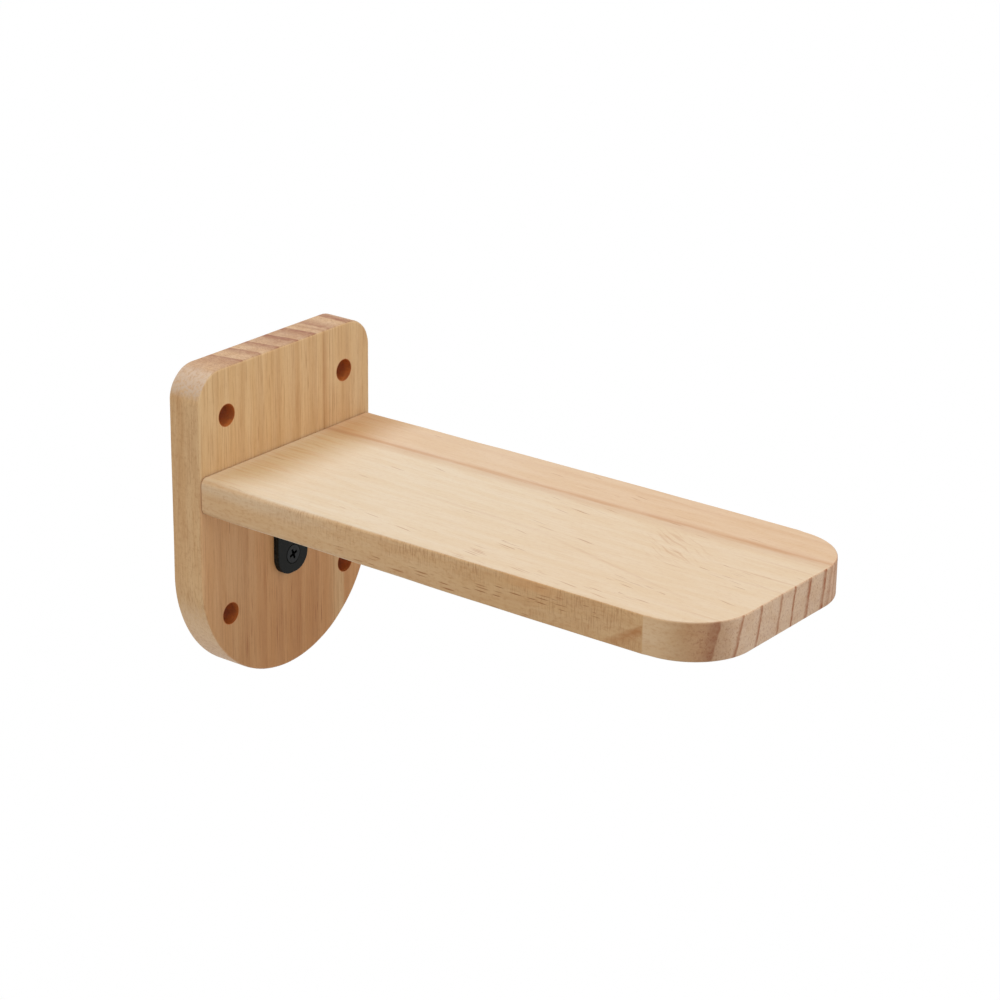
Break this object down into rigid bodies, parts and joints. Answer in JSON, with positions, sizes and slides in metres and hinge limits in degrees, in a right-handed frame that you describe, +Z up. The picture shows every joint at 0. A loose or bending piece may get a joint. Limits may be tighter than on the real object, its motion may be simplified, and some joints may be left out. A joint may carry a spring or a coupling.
{
  "type": "cat wall step",
  "caption": "Wooden wall step for a cat: flat shelf with round outer corners on a back plate with a half-round foot and wall screw holes, held below by a steel corner bracket.",
  "frame": {"origin": "middle of the four wall screw holes, on the back plate's rear face", "axes": "+Y into the wall, so the shelf reaches out along -Y; +Z up; X across the width"},
  "size_m": [0.08, 0.197, 0.1075],
  "materials": {
    "pine_plate": "sanded, unvarnished, grain upright",
    "pine_shelf": "sanded, unvarnished, grain along the shelf",
    "black_steel": "satin black coating",
    "black_screw": "black oxide",
    "zinc_screw": "zinc plated"
  },
  "bodies": {
    "root": {"back_plate": "pine_plate", "shelf_board": "pine_shelf", "corner_bracket": "black_steel", "bracket_plate_screw_lower": "black_screw", "bracket_plate_screw_upper": "black_screw", "bracket_shelf_screw_inner": "black_screw", "bracket_shelf_screw_outer": "black_screw", "rear_screw_left": "zinc_screw", "rear_screw_right": "zinc_screw"}
  },
  "joints": []
}
